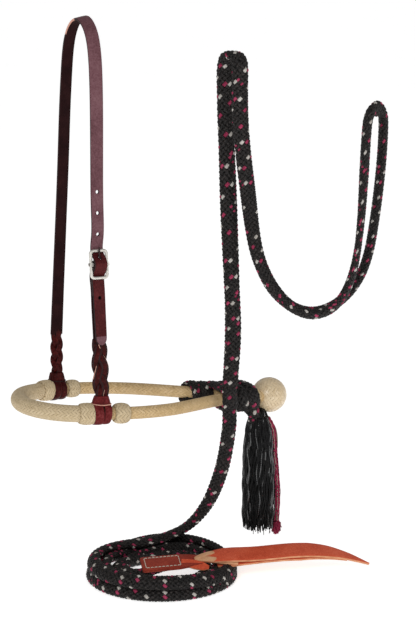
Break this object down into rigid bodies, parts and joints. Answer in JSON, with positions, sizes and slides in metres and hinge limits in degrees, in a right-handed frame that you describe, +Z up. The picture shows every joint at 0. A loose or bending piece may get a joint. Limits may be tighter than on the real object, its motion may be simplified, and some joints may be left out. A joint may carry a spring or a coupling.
{
  "type": "bitless hackamore",
  "caption": "Braided rawhide noseband hung on a slim leather headstall with a centre-bar buckle, carrying a rope rein loop, a coiled lead, a yarn tassel and a leather popper.",
  "frame": {"origin": "outer face of the strap at the top of the crown, where the headstall hangs", "axes": "+X from the nose to the heel knot, +Y from the near side to the far side, +Z up"},
  "size_m": [0.4252, 0.1934, 0.6452],
  "materials": {
    "latigo": "oiled burgundy latigo leather, satin",
    "russet": "russet leather, matt, pale cut edges",
    "rawhide": "natural braided rawhide, satin",
    "core_rawhide": "twisted rawhide, rough",
    "nickel": "polished nickel",
    "rope": "black braided rope with crimson and off-white flecks",
    "thread": "waxed off-white thread",
    "black_yarn": "glossy straight yarn",
    "crimson_yarn": "soft yarn",
    "white_yarn": "soft yarn"
  },
  "bodies": {
    "hanger": {"crown_strap": "latigo", "billet_strap": "latigo", "billet_stitching": "thread", "far_slit_braid": "latigo", "near_slit_braid": "latigo", "buckle_frame": "nickel", "buckle_bar": "nickel", "rein_loop": "rope", "lead_rope": "rope", "lead_coil": "rope", "popper_upper": "russet", "popper_lower": "russet", "popper_stitching": "thread"},
    "tongue": {"buckle_tongue": "nickel"},
    "bosal": {"bosal_core": "core_rawhide", "nose_button": "rawhide", "near_shank": "rawhide", "far_shank": "rawhide", "nose_end_near": "rawhide", "nose_end_far": "rawhide", "side_stop_near": "rawhide", "side_stop_far": "rawhide", "near_cheek_wrap": "latigo", "far_cheek_wrap": "latigo", "heel_knot": "rawhide", "heel_collar": "rawhide", "mecate_wraps": "rope", "far_shank_wraps": "rope", "rope_crossing": "rope"},
    "tassel_knot": {"tassel_neck": "black_yarn"},
    "tassel": {"tassel_black": "black_yarn", "tassel_red": "crimson_yarn", "tassel_red_end": "crimson_yarn", "tassel_white": "white_yarn"}
  },
  "joints": [
    {"name": "bosal_tilt", "type": "hinge", "parent": "hanger", "child": "bosal", "pos_m": [-0.00943, 0, -0.39999], "axis": [0, 1, 0], "range_deg": [-20, 0], "deforming": ["rein_loop", "lead_rope"]},
    {"name": "tongue_pivot", "type": "hinge", "parent": "hanger", "child": "tongue", "pos_m": [-0.00617, -0.051, -0.26193], "axis": [0.9997, 0, -0.0236], "range_deg": [0, 12]},
    {"name": "tassel_swing", "type": "hinge", "parent": "bosal", "child": "tassel_knot", "pos_m": [0.219, -0.006, -0.474], "axis": [0, 1, 0], "range_deg": [-30, 12]},
    {"name": "tassel_sway", "type": "hinge", "parent": "tassel_knot", "child": "tassel", "pos_m": [0.219, -0.006, -0.474], "axis": [1, 0, 0], "range_deg": [-25, 25]}
  ]
}
